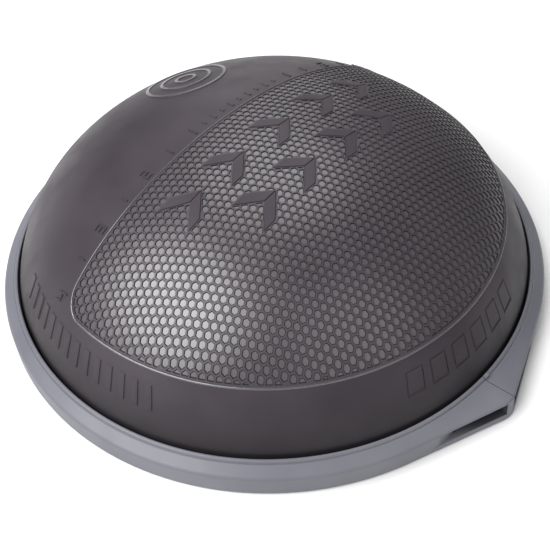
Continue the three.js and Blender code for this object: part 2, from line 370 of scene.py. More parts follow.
def scale_marks():
    """Ticks and figures beside the zone's straight edge, counted from its middle."""
    figures, ticks = (74, 141, 209, 274), (105.5, 173.7, 240)
    tick_l, tick_w, tick_relief, tick_slope = 12, 2.2, 1.2, 0.45
    bars, pitch, long_bar, short_bar, bar_w, bar_relief, bar_slope = 9, 13.5, 11, 7, 3.2, 0.9, 0.5
    marks = []
    for side in (-1, 1):
        for k, offset in enumerate(figures):
            place = Vector((SCALE_X, SCALE_Y + side * offset))
            if place.length < 275:
                marks += digit(k + 1, place)
        for offset in ticks:
            place = Vector((SCALE_X, SCALE_Y + side * offset))
            if place.length < 270:
                marks.append(Plate(bar(place, tick_l, tick_w, 0), tick_relief, tick_slope))
    for k in range(bars):
        place = Vector((SCALE_X, SCALE_Y + (k - bars // 2) * pitch))
        outline = bar(place, long_bar if k % 2 else short_bar, bar_w, 0)
        marks.append(Plate(outline, bar_relief, bar_slope))
    return marks


def zone_marks():
    """Two rows of plain direction arrows inside the honeycomb zone."""
    marks = []
    for row_x, ys in ((12, (-125, -62, 8, 78, 140)), (72, (-78, -18, 48, 108))):
        for y in ys:
            marks += chevron(Vector((row_x, y + 16)))
    return marks


def slanted(start, width, lean):
    """Outline of a side mark, in degrees: where it starts, its width and its lean."""
    return [polar(SIDE_R0, start * DEG), polar(SIDE_R0, (start + width) * DEG),
            polar(SIDE_R1, (start + width + lean) * DEG), polar(SIDE_R1, (start + lean) * DEG)]


def side_marks():
    """Slanted bars round the front of the dome and sunk outlines near a handle."""
    bars = [Plate(slanted(-116 + 3.3 * k, 1.7, 0.9)) for k in range(14)]
    outlines = [Groove(slanted(-18 + 6.2 * k, 4.4, -0.8)) for k in range(6)]
    return bars + outlines


def emblem():
    """A plain target of three rings on the smooth side."""
    centre = Vector((-163, 28))
    return [Hoop(centre, 45, 50), Hoop(centre, 27, 32), Hoop(centre, 9, 14)]


# ---------------------------------------------------------------- dome surface

def dome_point(p, height):
    """The dome's surface above a plan point, raised by height along its normal."""
    flat = min(1.0, (p.x ** 2 + p.y ** 2) / DOME_A ** 2)
    z = DOME_B * math.sqrt(1 - flat)
    normal = Vector((p.x / DOME_A ** 2, p.y / DOME_A ** 2, z / DOME_B ** 2)).normalized()
    return (Vector((p.x, p.y, DOME_CZ + z)) + normal * height) * MM


class PlanMesh:
    """Points and forced edges in plan, each point with the kind of surface it lies on."""

    def __init__(self):
        self.points = []
        self.edges = []
        self.kind = []

    def add_point(self, p, kind):
        self.points.append(p)
        self.kind.append(kind)

    def add_loop(self, loop, kind):
        start = len(self.points)
        count = len(loop)
        for i, p in enumerate(loop):
            self.add_point(p, kind)
            self.edges.append((start + i, start + (i + 1) % count))


def pocket_cells(ridge, marks):
    """Mouth outlines of the honeycomb pockets, cut back along the zone's edge and marks."""
    column = CELL_PITCH * math.cos(30 * DEG)
    corner = POCKET_WIDTH / math.sqrt(3)
    hexagon = [polar(corner, 60 * DEG * k) for k in range(6)]
    margin = RIDGE_W / 2 + POCKET_MARGIN
    cells = []
    columns = int(ARC_R / column) + 1
    rows = int(ARC_R / CELL_PITCH) + 1
    for i in range(int(CHORD_X / column) - 1, columns):
        for j in range(-rows, rows):
            centre = Vector((i * column, (j + 0.5 * (i % 2)) * CELL_PITCH))
            if ridge.outside(centre) > corner:
                continue
            cell = [centre + p for p in hexagon]
            if ridge.outside(centre) > -2 * corner - margin:
                for point, outward in ridge.edge_near(centre, -margin):
                    cell = clipped(cell, point, outward)
            for mark in marks:
                if (mark.centre - centre).length < mark.reach + corner + POCKET_MARGIN:
                    cell = cut_back(cell, mark)
            if len(cell) > 2 and area(cell) > LEAST_MOUTH:
                cells.append(cell)
    return cells


def cut_back(cell, mark):
    """A cell less the side of it that a convex mark covers, with some land between."""
    if len(cell) < 3:
        return cell
    gaps = []
    for point, outward in mark.lines:
        edge = point + outward * POCKET_MARGIN
        gaps.append((min((p - edge).dot(outward) for p in cell), edge, outward))
    if max(g[0] for g in gaps) >= 0:
        return cell
    middle = sum(cell, Vector((0, 0))) / len(cell)
    best = max(((middle - edge).dot(outward), edge, outward) for _, edge, outward in gaps)
    return clipped(cell, best[1], -best[2])


def dome_plan(ridge, marks, cells, hole):
    """Everything that the dome's mesh has to follow, and points to fill the plain parts."""
    plan = PlanMesh()
    for mark in [ridge, *marks]:
        for loop in mark.contours():
            if len(loop) > 2:
                plan.add_loop(loop, "land")
    for cell in cells:
        floor = inset(cell, POCKET_SLOPE)
        if len(floor) > 2 and area(floor) > LEAST_FLOOR:
            plan.add_loop(cell, "land")
            plan.add_loop(floor, "floor")
    plan.add_loop(hole, "hole")
    for p in plain_grid():
        if is_plain(p, ridge, marks, hole):
            plan.add_point(p, "land")
    rim, *rings = skirt_rings()
    plan.add_loop(rim, "land")
    for ring in rings:
        for p in ring:
            if is_plain(p, ridge, marks, hole):
                plan.add_point(p, "land")
    return plan


def plain_grid():
    """A triangle grid of plan points over the dome, out to PLAIN_R."""
    count = int(DOME_A / PLAIN_SPACING) + 1
    points = []
    for i in range(-count, count + 1):
        for j in range(-count, count + 1):
            x = (i + 0.5 * (j % 2)) * PLAIN_SPACING
            points.append(Vector((x, j * PLAIN_SPACING * 0.866)))
    return [p for p in points if p.length < PLAIN_R]


def skirt_rings():
    """Rings of plan points from the dome's foot in to SKIRT_PLAN_R, evenly spaced on the slope."""
    start = math.asin((BEAD_Z1 - DOME_CZ) / DOME_B)
    stop = math.acos(SKIRT_PLAN_R / DOME_A)
    rings = []
    for k in range(SKIRT_RINGS + 1):
        radius = DOME_A * math.cos(start + (stop - start) * k / SKIRT_RINGS)
        rings.append([polar(radius, (i + 0.5 * (k % 2)) * DEG) for i in range(360)])
    return rings


def is_plain(p, ridge, marks, hole):
    """True where nothing but smooth surface lies close to a plan point."""
    if (p - hole_centre(hole)).length < VALVE_HOLE_R + 2:
        return False
    inside_mark = False
    for mark in marks:
        depth = mark.depth_inside(p)
        if isinstance(mark, Hoop):
            near = depth > -MARK_CLEARANCE
        else:
            near = (p - mark.centre).length < mark.reach + 2
        if near and abs(depth) < MARK_CLEARANCE:
            return False
        inside_mark = inside_mark or depth > 0
    return inside_mark or ridge.outside(p) > 3


def hole_centre(hole):
    return sum(hole, Vector((0, 0))) / len(hole)


def valve_frame():
    """The place of the air valve: local z points straight out of the dome."""
    rise = (VALVE_Z - DOME_CZ) / DOME_B
    radius = DOME_A * math.sqrt(1 - rise ** 2)
    tilt = math.atan2(radius / DOME_A ** 2, rise / DOME_B)
    place = polar(radius, VALVE_AZIMUTH)
    turn = Matrix.Rotation(VALVE_AZIMUTH, 4, "Z") @ Matrix.Rotation(tilt, 4, "Y")
    return Matrix.Translation(Vector((place.x, place.y, VALVE_Z)) * MM) @ turn


def new_object(name, mesh):
    ob = bpy.data.objects.new(name, mesh)
    bpy.context.scene.collection.objects.link(ob)
    return ob


def weighted_smooth(ob, sharp_angle=SHARP):
    ob.data.shade_smooth()
    ob.data.set_sharp_from_angle(angle=sharp_angle)
    ob.modifiers.new("weighted_normals", "WEIGHTED_NORMAL").keep_sharp = True


def valve_hole(valve, sides=24):
    """The plan outline of the valve's hole in the dome."""
    hole = []
    for k in range(sides):
        p = valve @ (Vector((*polar(VALVE_HOLE_R, k * 360 / sides * DEG), 0)) * MM)
        hole.append(Vector((p.x, p.y)) / MM)
    return hole


def point_kind(found):
    """The kind of a mesh point that comes from plan points of the kinds found."""
    for kind in ("floor", "hole"):
        if kind in found:
            return kind
    return "land"


def dome_skin():
    """The dome with its pockets, ridge and marks, meshed along all their edges."""
    ridge = ZoneRidge()
    arrows = zone_marks()
    marks = arrows + scale_marks() + side_marks() + emblem()
    cells = pocket_cells(ridge, arrows)
    valve = valve_frame()
    hole = valve_hole(valve)
    plan = dome_plan(ridge, marks, cells, hole)
    points, _, faces, origins, _, _ = delaunay_2d_cdt(
        plan.points, plan.edges, [], 0, 1e-4, True)
    kinds = [point_kind({plan.kind[o] for o in origins[i]}) for i in range(len(points))]

    bm = bmesh.new()
    for p, kind in zip(points, kinds):
        if kind == "floor":
            height = -POCKET_DEPTH
        elif kind == "hole":
            height = 0.0
        else:
            height = ridge.relief(p) + max((m.relief(p) for m in marks), key=abs)
        bm.verts.new(dome_point(p, height))
    bm.verts.ensure_lookup_table()
    middle = hole_centre(hole)
    for face in faces:
        corners = {kinds[i] for i in face}
        centre = sum((points[i] for i in face), Vector((0, 0))) / len(face)
        if corners == {"hole"} and (centre - middle).length < VALVE_HOLE_R:
            continue
        made = bm.faces.new([bm.verts[i] for i in face])
        if corners == {"floor"}:
            made.material_index = FLOOR
        # Pocket walls get the dark colour that paints in their shade.
        elif "floor" in corners:
            made.material_index = WALL
        # Crests: a glossier finish with a painted highlight in a lighter colour.
        elif is_crest_highlight(centre, ridge, marks):
            made.material_index = CREST_HIGHLIGHT
        elif is_between_pockets(centre, ridge, marks):
            made.material_index = WORN
    close_dome(bm, valve)
    mesh = bpy.data.meshes.new("dome_skin")
    bm.to_mesh(mesh)
    bm.free()
    return new_object("dome_skin", mesh)


def is_crest_highlight(p, ridge, marks):
    """Whether a point is on a crest that is glossier and whose lighter colour paints in a
    highlight.
    """
    if ridge.depth_inside(p) > RIDGE_W * 0.2:
        return True
    return any(m.crest_highlight and m.depth_inside(p) > m.slope * 0.9 for m in marks)


def is_between_pockets(p, ridge, marks):
    """Whether a point is on the land of the honeycomb, clear of the ridge and the marks."""
    if ridge.outside(p) > -RIDGE_W / 2:
        return False
    return all(m.depth_inside(p) < 0 for m in marks)


def close_dome(bm, valve):
    """The bead and flat base under the dome, and the wall of the valve's passage."""
    rim = [e for e in bm.edges if e.is_boundary]
    centre = valve.translation
    passage = [e for e in rim if (e.verts[0].co - centre).length < 2 * VALVE_HOLE_R * MM]
    skirt = [e for e in rim if e not in set(passage)]
    inward = valve.to_3x3() @ Vector((0, 0, -1))
    extend(bm, passage, lambda co: co + inward * VALVE_PASSAGE * MM, fill=True)
    for radius, z in ((BEAD_R, BEAD_Z1), (BEAD_R, BEAD_Z0)):
        skirt = extend(bm, skirt, lambda co, r=radius, h=z: at_radius(co, r, h))
    extend(bm, skirt, lambda co: at_radius(co, BEAD_R - 12, BEAD_Z0), fill=True)
    bmesh.ops.recalc_face_normals(bm, faces=bm.faces)


def at_radius(co, radius, z):
    flat = Vector((co.x, co.y)).normalized() * radius * MM
    return Vector((flat.x, flat.y, z * MM))


def extend(bm, edges, place, fill=False):
    """Extrudes boundary edges, puts the new points where place says, and caps if asked."""
    made = bmesh.ops.extrude_edge_only(bm, edges=edges)["geom"]
    for vert in (g for g in made if isinstance(g, bmesh.types.BMVert)):
        vert.co = place(vert.co)
    outer = [g for g in made if isinstance(g, bmesh.types.BMEdge) and g.is_boundary]
    if fill:
        bmesh.ops.edgeloop_fill(bm, edges=outer)
    return outer


# ---------------------------------------------------------------- turned and skinned solids

def rounded(corners):
    """A closed outline of (radius, height, fillet) corners with its corners rounded.

    Every corner gives the same number of points wherever the outline is used.
    """
    points = []
    count = len(corners)
    for i, (r, z, fillet) in enumerate(corners):
        corner = Vector((r, z))
        if not fillet:
            points.append(corner)
            continue
        before = Vector(corners[i - 1][:2]) - corner
        after = Vector(corners[(i + 1) % count][:2]) - corner
        reach = min(fillet, before.length * 0.45, after.length * 0.45)
        a = corner + before.normalized() * reach
        b = corner + after.normalized() * reach
        for step in range(FILLET_STEPS + 1):
            t = step / FILLET_STEPS
            points.append(a * (1 - t) ** 2 + corner * 2 * t * (1 - t) + b * t ** 2)
    return points


def skinned(stations, section_at, closed=True):
    """A bmesh skinned over one outline of (radius, height) points per station angle."""
    bm = bmesh.new()
    loops = []
    for angle in stations:
        loop = []
        for p in section_at(angle):
            flat = polar(p[0], angle)
            loop.append(bm.verts.new(Vector((flat.x, flat.y, p[1])) * MM))
        loops.append(loop)
    count = len(loops[0])
    for i in range(len(loops) if closed else len(loops) - 1):
        here, there = loops[i], loops[(i + 1) % len(loops)]
        for j in range(count):
            k = (j + 1) % count
            bm.faces.new((here[j], there[j], there[k], here[k]))
    bmesh.ops.remove_doubles(bm, verts=bm.verts, dist=0.02 * MM)
    return bm


def full_turn(segments):
    return [2 * math.pi * i / segments for i in range(segments)]


def finished(name, bm, sharp=SHARP, place=None):
    """An object from a bmesh, moved into place, smooth except at its sharp edges."""
    bmesh.ops.recalc_face_normals(bm, faces=bm.faces)
    mesh = bpy.data.meshes.new(name)
    bm.to_mesh(mesh)
    bm.free()
    if place:
        mesh.transform(place)
    ob = new_object(name, mesh)
    weighted_smooth(ob, sharp)
    return ob


def turned(name, corners, segments=48, place=None, lobes=None):
    """A solid turned about Z from rounded corners; lobes(angle, point) may move each point."""
    outline = rounded(corners)

    def section(angle):
        return [lobes(angle, p) for p in outline] if lobes else outline

    return finished(name, skinned(full_turn(segments), section), place=place)


def block(x0, x1, y0, y1, z0, z1, bevel=0.0):
    """A bmesh block, in millimetres, with its edges rounded."""
    bm = bmesh.new()
    size = Matrix.Diagonal(((x1 - x0) * MM, (y1 - y0) * MM, (z1 - z0) * MM, 1))
    centre = Matrix.Translation(Vector((x0 + x1, y0 + y1, z0 + z1)) / 2 * MM)
    bmesh.ops.create_cube(bm, size=1, matrix=centre @ size)
    if bevel:
        bmesh.ops.bevel(bm, geom=bm.edges, offset=bevel * MM, segments=3,
                        affect="EDGES", profile=0.6)
    return bm


def combined(name, base, tools):
    """The base bmesh with each (operation, bmesh) tool joined to it or cut from it."""
    ob = finished(name, base)
    ob.modifiers.clear()
    helpers = []
    for operation, bm in tools:
        tool = finished(name + "_tool", bm)
        tool.modifiers.clear()
        helpers.append(tool)
        cut = ob.modifiers.new(operation, "BOOLEAN")
        cut.operation = operation
        cut.solver = "EXACT"
        cut.object = tool
    settled = bpy.data.meshes.new_from_object(
        ob.evaluated_get(bpy.context.evaluated_depsgraph_get()))
    ob.modifiers.clear()
    ob.data = settled
    for tool in helpers:
        bpy.data.objects.remove(tool)
    weighted_smooth(ob)
    return ob


# ---------------------------------------------------------------- clamp ring

def soft_least(a, b, blend):
    """The smaller of two numbers, eased where they are nearly equal."""
    h = min(1.0, max(0.0, 0.5 + 0.5 * (b - a) / blend))
    return b * (1 - h) + a * h - blend * h * (1 - h)


def rim_radius(angle, round_r, tip_x, flare):
    """Outer radius at an angle: round, then straight tangent sides to a flat tip."""
    folded = abs(math.asin(math.sin(angle)))
    if folded >= flare:
        return round_r
    return soft_least(round_r / math.cos(flare - folded), tip_x / math.cos(folded), 1.6)


def wall_radius(angle, z):
    """Radius of the ring's outer wall at a height."""
    foot = rim_radius(angle, RIM_R, TIP_X_FOOT, FLARE_FOOT)
    top = rim_radius(angle, SHOULDER_R, TIP_X_TOP, FLARE_TOP) + 0.6
    return foot + (top - foot) * (z - RIM_Z0) / (SHOULDER_Z - 3 - RIM_Z0)


def hollow_ceiling(r):
    """Height of the ceiling of the hollow under the ring at a radius."""
    if r > CEILING_KNEE_R:
        return CEILING_KNEE_Z - (r - CEILING_KNEE_R) * 1.2
    return 31.2 - (r - LEG_R1) * 0.667


def rim_section(angle):
    """The ring's outline at an angle, with the finger slot and the hollow underside."""
    straight = abs(math.cos(angle))
    back = GRIP_X / straight
    foot = wall_radius(angle, RIM_Z0)
    top = rim_radius(angle, SHOULDER_R, TIP_X_TOP, FLARE_TOP)
    hollow = min(SKIRT_R, LEG_R1 / straight) if straight > 0.1 else SKIRT_R
    opened = min(1.0, (hollow - LEG_R1) / 2.5)
    knee = min(hollow, CEILING_KNEE_R)

    def ceiling(r):
        return LEG_Z0 + (hollow_ceiling(r) - LEG_Z0) * opened

    low, high = wall_radius(angle, GRIP_Z0), top + 0.42
    low_back, high_back = soft_least(low, back, 3.5), soft_least(high, back, 3.5)
    return rounded([
        (hollow, RIM_Z0, 0),
        (foot, RIM_Z0, 1.3),
        (low, GRIP_Z0, 1.0 if low > back else 0.01),
        (low_back, GRIP_Z0, 1.4),
        (high_back, GRIP_Z1, 1.4),
        (high, GRIP_Z1, 1.0 if high > back else 0.01),
        (top - 1.1, SHOULDER_Z, 2.6),
        ((top + 311.9) / 2, 31.2, 5),
        (311.9, 35.3, 0.5),
        (310.9, 34.9, 0.4),
        (310.1, 37.6, 0.8),
        (308.6, LIP_Z + 0.1, 1.4),
        (306.6, LIP_Z, 1.2),
        (306.2, 35.5, 1.5),
        (LEG_R0, 28, 1),
        (LEG_R0, LEG_Z0, 0),
        (LEG_R1, LEG_Z0, 0),
        (LEG_R1, ceiling(LEG_R1), 0),
        (knee, ceiling(knee), 0),
        (hollow, ceiling(hollow), 0),
    ])


def rim_stations():
    """Station angles of one ring half, closer together near the handles."""
    near = [-2.6, -1.5, -1.2, -0.9, -0.5, 0, 0.5, 0.9, 1.2, 1.6, 2.4, 4, 6, 8, 10, 12, 13.2,
            14.2, 15.0, 15.4, 16, 17, 18, 19, 20.2, 21.3]
    steps = 36
    middle = [near[-1] + (90 - near[-1]) * k / steps for k in range(1, steps + 1)]
    quarter = near + middle
    return [a * DEG for a in quarter + [180 - a for a in quarter[-2::-1]]]


def cut_seam(bm, side):
    """Cuts the end of a ring half along the slanted seam at +X (side 1) or -X (side -1)."""
    reach = 250 * MM
    reached = [v for v in bm.verts if v.co.x * side > reach]
    touched = {e for v in reached for e in v.link_edges}
    touched |= {f for v in reached for f in v.link_faces}
    normal = Vector((-SEAM_SLOPE, 1, 0)).normalized()
    place = Vector((side * SEAM_X, 0, 0)) * MM + normal * SEAM_GAP / 2 * MM
    bmesh.ops.bisect_plane(bm, geom=[*reached, *touched], plane_co=place, plane_no=normal,
                           clear_inner=True)
    open_edges = [e for e in bm.edges if e.is_boundary and e.verts[0].co.x * side > reach]
    bmesh.ops.edgeloop_fill(bm, edges=open_edges)


def tip_post():
    """The post that closes a handle's slot behind its tip, on the -X side."""
    top = SHOULDER_Z - 3
    heights = sorted((GRIP_Z0 - 1, GRIP_Z0 + 1, 17, GRIP_Z1 - 1, top, GRIP_Z1 + 0.9))
    sunk = 0.06

    def section(angle):
        inner = POST_X / abs(math.cos(angle))
        wall = [(wall_radius(angle, min(z, top)) - sunk, z) for z in heights]
        return [(inner, heights[0]), *wall, (inner, heights[-1])]

    stations = [(178.9 + 0.2 * k) * DEG for k in range(13)]
    bm = skinned(stations, section, closed=False)
    for end in (min, max):
        edge_y = end(v.co.y for v in bm.verts)
        bmesh.ops.edgeloop_fill(bm, edges=[e for e in bm.edges if e.is_boundary
                                           and (e.verts[0].co.y > 0) == (edge_y > 0)])
    cut_seam(bm, -1)
    return bm


def screw_boss(angle):
    """A tube under the ring for one clamp screw."""
    outline = [(BOSS_BORE_R, BOSS_Z0), (BOSS_R, BOSS_Z0),
               (BOSS_R, BOSS_Z1), (BOSS_BORE_R, BOSS_Z1)]
    bm = skinned(full_turn(20), lambda _: outline)
    place = polar(SCREW_CIRCLE_R, angle)
    bmesh.ops.translate(bm, verts=bm.verts, vec=Vector((place.x, place.y, 0)) * MM)
    return bm


def seam_tab():
    """The small raised tab beside the seam, on the lip at +X."""
    return block(306.9, 311.4, -2.3, 3.9, 33, 39.5, bevel=0.7)


def splice_pocket(side):
    """The space under a handle that the splice plate sits in."""
    half_w, half_l = 8.8, 22.3
    x = side * SPLICE_X
    return block(x - half_w, x + half_w, -half_l, half_l, 0, 4.6)


def rim_half(name, node, turn):
    """One half of the clamp ring, turned by an angle about Z."""
    base = skinned(rim_stations(), rim_section, closed=False)
    for side in (1, -1):
        cut_seam(base, side)
    ob = combined(name, base, [
        ("UNION", tip_post()),
        ("UNION", seam_tab()),
        ("DIFFERENCE", splice_pocket(1)),
        ("DIFFERENCE", splice_pocket(-1)),
    ])
    for angle in SCREW_ANGLES:
        join_shell(ob, screw_boss(angle * DEG))
    mark_slots(ob.data)
    ob.data.transform(Matrix.Rotation(turn, 4, "Z"))
    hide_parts(node)
    return ob


def mark_slots(mesh):
    """Gives the inside of both finger slots the mesh's second material, which paints in their
    shade.
    """
    for face in mesh.polygons:
        x, y, z = face.center / MM
        depth = wall_radius(math.atan2(y, x), z) - math.hypot(x, y)
        near_handle = abs(x) > LEG_R1 + 1 and abs(y) < GRIP_HALF
        level = GRIP_Z0 - 0.3 < z < GRIP_Z1 + 0.3
        if near_handle and level and depth > 1.2:
            face.material_index = 1


def join_shell(ob, bm):
    """Adds another closed shell to an object's mesh."""
    bmesh.ops.recalc_face_normals(bm, faces=bm.faces)
    extra = bpy.data.meshes.new("shell")
    bm.to_mesh(extra)
    bm.free()
    both = bmesh.new()
    both.from_mesh(ob.data)
    both.from_mesh(extra)
    both.to_mesh(ob.data)
    both.free()
    bpy.data.meshes.remove(extra)
    ob.data.set_sharp_from_angle(angle=SHARP)


# ---------------------------------------------------------------- small parts

def tread_pad():
    """The rubber pad under the platform: rings of tread blocks between grooves."""
    bands, pitch, first, outer, top = 11, 12.6, 8, 150, 4.4
    crest, groove = 1.0, 2.3
    sector = 15
    corners = [(0, 1.4)]
    for k in range(bands):
        inner = first + k * pitch
        corners += [(inner, groove), (inner + 0.6, crest), (inner + 9.4, crest),
                    (inner + 10, groove)]
    corners += [(outer - 1.4, groove), (outer - 0.6, 1.6), (outer, 2.4), (outer, top), (0, top)]

    def section(angle):
        half_degrees = round(angle / DEG * 2)
        grooved = half_degrees % (2 * sector) in (0, 1, 2 * sector - 1)
        return [(r, groove if grooved and z == crest and r > 20 else z) for r, z in corners]

    offsets = (-0.5, 0, 0.5, 0.9, 4.7, 8.5, 12.3, 14.1)
    stations = [(sector * k + offset) * DEG for k in range(360 // sector) for offset in offsets]
    return finished("tread_pad", skinned(stations, section), sharp=PAD_SHARP)


def foot_cup(index):
    """A round rubber foot with two grip rings."""
    corners = [(0, 0.9, 0), (4.2, 0.9, 0.4), (4.8, 0, 0.4), (8.6, 0, 0.4), (9.2, 1.0, 0.3),
               (10.8, 1.0, 0.3), (11.4, 0, 0.4), (16.6, 0, 0.8), (18, 1.6, 0.6),
               (18, 4.4, 0.3), (0, 4.4, 0)]
    place = polar(FOOT_CIRCLE_R, (index + 0.5) * 360 / FOOT_COUNT * DEG)
    turn = Matrix.Translation(Vector((place.x, place.y, 0)) * MM)
    ob = turned(f"foot_cup_{index + 1}", corners, 40, turn)
    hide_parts(f"foot_{index + 1}")
    return ob


def bolt(name, node, place, head_r, shank_r, head_z, seat_z, tip_z):
    """A pan-head screw seen from below, with a hexagon socket."""
    socket = head_r * 0.46
    corners = [(0, head_z + 1.3, 0), (socket, head_z + 1.3, 0), (socket * 1.02, head_z, 0),
               (head_r * 0.8, head_z, 0.3), (head_r, head_z + 0.8, 0.4), (head_r, seat_z, 0.1),
               (shank_r, seat_z, 0)]
    threads = 6
    length = tip_z - 1.2 - seat_z
    for k in range(threads):
        z = seat_z + length * (k + 0.5) / threads
        corners += [(shank_r * 0.84, z, 0), (shank_r, z + length * 0.5 / threads, 0)]
    corners.append((0, tip_z, 0))

    def lobes(angle, p):
        if p[0] and p[0] < socket * 1.1 and p[1] < seat_z:
            fold = (angle / DEG) % 60 - 30
            return (p[0] * math.cos(30 * DEG) / math.cos(fold * DEG), p[1])
        return p

    turn = Matrix.Translation(Vector((*place, 0)) * MM)
    ob = turned(name, corners, 24, turn, lobes)
    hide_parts(node)
    return ob


def clamp_bolts():
    """The twelve screws that clamp the ring to the platform."""
    bolts = []
    angles = [*SCREW_ANGLES, *(a + 180 for a in SCREW_ANGLES)]
    for i, angle in enumerate(angles):
        number = f"{i + 1:02d}"
        place = polar(SCREW_CIRCLE_R, angle * DEG)
        bolts.append(bolt(f"clamp_bolt_{number}", f"clamp_screw_{number}", place,
                          head_r=4, shank_r=2, head_z=3.4, seat_z=5.7, tip_z=25.6))
    return bolts


def splice_bolts(side, sign):
    """The two screws of one splice plate."""
    return [bolt(f"splice_bolt_{side}_{i + 1}", f"splice_screw_{side}_{i + 1}",
                 Vector((sign * SPLICE_X, sign * y)),
                 head_r=3.2, shank_r=1.5, head_z=2.3, seat_z=3.4, tip_z=8.2)
            for i, y in enumerate((-14, 14))]


def ribbed_liner(side, turn):
    """The rubber strip at the back of a finger slot, with upright ribs."""
    half, pitch, rib, bevel = 62, 4, 2.4, 0.4
    back = GRIP_X + 0.3
    web, crest = back + 1.2, back + 1.8
    outline = [Vector((back, half)), Vector((back, -half)), Vector((web, -half))]
    for k in range(int(2 * half / pitch)):
        y = -half + k * pitch + (pitch - rib) / 2
        outline += [Vector((web, y)), Vector((crest, y + bevel)),
                    Vector((crest, y + rib - bevel)), Vector((web, y + rib))]
    outline.append(Vector((web, half)))
    bm = bmesh.new()
    for x, y in outline:
        bm.verts.new(Vector((x, y, GRIP_Z0 + 0.3)) * MM)
    face = bm.faces.new(bm.verts)
    made = bmesh.ops.extrude_face_region(bm, geom=[face])["geom"]
    rise = Vector((0, 0, GRIP_Z1 - GRIP_Z0 - 0.6)) * MM
    raised = [g for g in made if isinstance(g, bmesh.types.BMVert)]
    bmesh.ops.translate(bm, verts=raised, vec=rise)
    ob = finished(f"ribbed_liner_{side}", bm, place=Matrix.Rotation(turn, 4, "Z"))
    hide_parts(f"grip_liner_{side}")
    return ob


def valve_collar(place):
    """The flanged seat of the valve, gripping the dome's wall from both sides."""
    corners = [(5, -9.8, 0.3), (15, -9.8, 0.4), (15, -7.5, 0.4), (8.6, -7.5, 0), (8.6, 0.3, 0),
               (12.2, 0.3, 0), (12.2, 1.2, 0.6), (11, 2.0, 0.6), (9.9, 1.6, 0.2), (9.6, 1.6, 0.2),
               (9.3, 2.0, 0.2), (5, 2.0, 0.3)]
    ob = turned("valve_collar", corners, 48, place)
    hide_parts("valve_seat")
    return ob


def valve_stopper(place):
    """The push-in plug, with a scalloped edge to lift it by."""
    corners = [(0, -9, 0), (3.6, -9, 0.8), (4.6, -6, 0.8), (4.6, 2.3, 0), (9, 2.3, 0.3),
               (9, 3.5, 0.6), (8, 4.6, 0.6), (4.6, 4.9, 0.6), (3.9, 4.3, 0.5), (0, 4.1, 0)]

    def lobes(angle, p):
        if p[0] < 7:
            return p
        return (p[0] - 0.35 * (0.5 + 0.5 * math.cos(16 * angle)), p[1])

    ob = turned("valve_stopper", corners, 96, place, lobes)
    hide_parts("valve_plug")
    return ob


# ---------------------------------------------------------------- materials

def material(name):
    """A new node material: returns it, its node tree and its principled shader."""
    mat = bpy.data.materials.new(name)
    mat.use_nodes = True
    return mat, mat.node_tree, mat.node_tree.nodes["Principled BSDF"]


def noise(tree, scale, detail):
    place = tree.nodes.new("ShaderNodeTexCoord")
    texture = tree.nodes.new("ShaderNodeTexNoise")
    texture.inputs["Scale"].default_value = scale
    texture.inputs["Detail"].default_value = detail
    tree.links.new(place.outputs["Object"], texture.inputs["Vector"])
    return texture.outputs["Fac"]


def shades(tree, value, dark, light):
    """Blends from dark to light over the middle of value's range."""
    ramp_node = tree.nodes.new("ShaderNodeValToRGB")
    stops = ramp_node.color_ramp.elements
    for stop, position, colour in zip(stops, (0.35, 0.65), (dark, light)):
        stop.position = position
        stop.color = (*colour, 1)
    tree.links.new(value, ramp_node.inputs["Fac"])
    return ramp_node.outputs["Color"]


def spread(tree, value, low, high):
    """Turns a noise value into a number from low to high."""
    span = ranged(tree, (0.3, 0.7), (low, high))
    tree.links.new(value, span.inputs["Value"])
    return span.outputs["Result"]


def ranged(tree, before, after):
    """A node that maps the range before to the range after."""
    span = tree.nodes.new("ShaderNodeMapRange")
    for key, value in zip(("From Min", "From Max", "To Min", "To Max"), (*before, *after)):
        span.inputs[key].default_value = value
    return span


def bumped(tree, shader, height, strength, distance):
    bump = tree.nodes.new("ShaderNodeBump")
    bump.inputs["Strength"].default_value = strength
    bump.inputs["Distance"].default_value = distance
    tree.links.new(height, bump.inputs["Height"])
    tree.links.new(bump.outputs["Normal"], shader.inputs["Normal"])


def moulded(name, dark, light, rough, grain=900, grain_depth=0.00006, specular=0.5):
    """Moulded plastic or rubber: cloudy colour, uneven sheen and a fine grain."""
    mat, tree, shader = material(name)
    colour = shades(tree, noise(tree, 9, 4), dark, light)
    tree.links.new(colour, shader.inputs["Base Color"])
    tree.links.new(spread(tree, noise(tree, 26, 4), *rough), shader.inputs["Roughness"])
    bumped(tree, shader, noise(tree, grain, 2), 0.5, grain_depth)
    shader.inputs["Specular IOR Level"].default_value = specular
    return mat


def dome_vinyl():
    return moulded("dome_vinyl", (0.029, 0.023, 0.029), (0.044, 0.036, 0.044), (0.43, 0.56),
                   grain=420, grain_depth=0.00014, specular=0.30)


def pocket_vinyl():
    return moulded("pocket_vinyl", (0.054, 0.047, 0.054), (0.064, 0.056, 0.064), (0.29, 0.35),
                   grain_depth=0.00002, specular=1.0)


def worn_vinyl():
    return moulded("worn_vinyl", (0.036, 0.030, 0.036), (0.046, 0.039, 0.046), (0.38, 0.44),
                   grain_depth=0.00003, specular=0.45)


def pocket_wall_painted_shade():
    """The steep walls of the pockets: a dark colour that paints in their shade, and a dull finish.
    """
    return moulded("pocket_wall_painted_shade", (0.010, 0.008, 0.010), (0.016, 0.013, 0.016), (0.60, 0.70),
                   specular=0.25)


# Crests are glossier, and their lighter colour is a painted highlight.
def glossy_crest_painted_highlight():
    return moulded("glossy_crest_painted_highlight", (0.054, 0.048, 0.054), (0.064, 0.057, 0.064), (0.22, 0.28),
                   grain_depth=0.00003, specular=1.0)


def ring_plastic():
    return moulded("ring_plastic", (0.115, 0.116, 0.139), (0.142, 0.143, 0.167), (0.42, 0.50),
                   grain=1300, grain_depth=0.00007, specular=0.45)


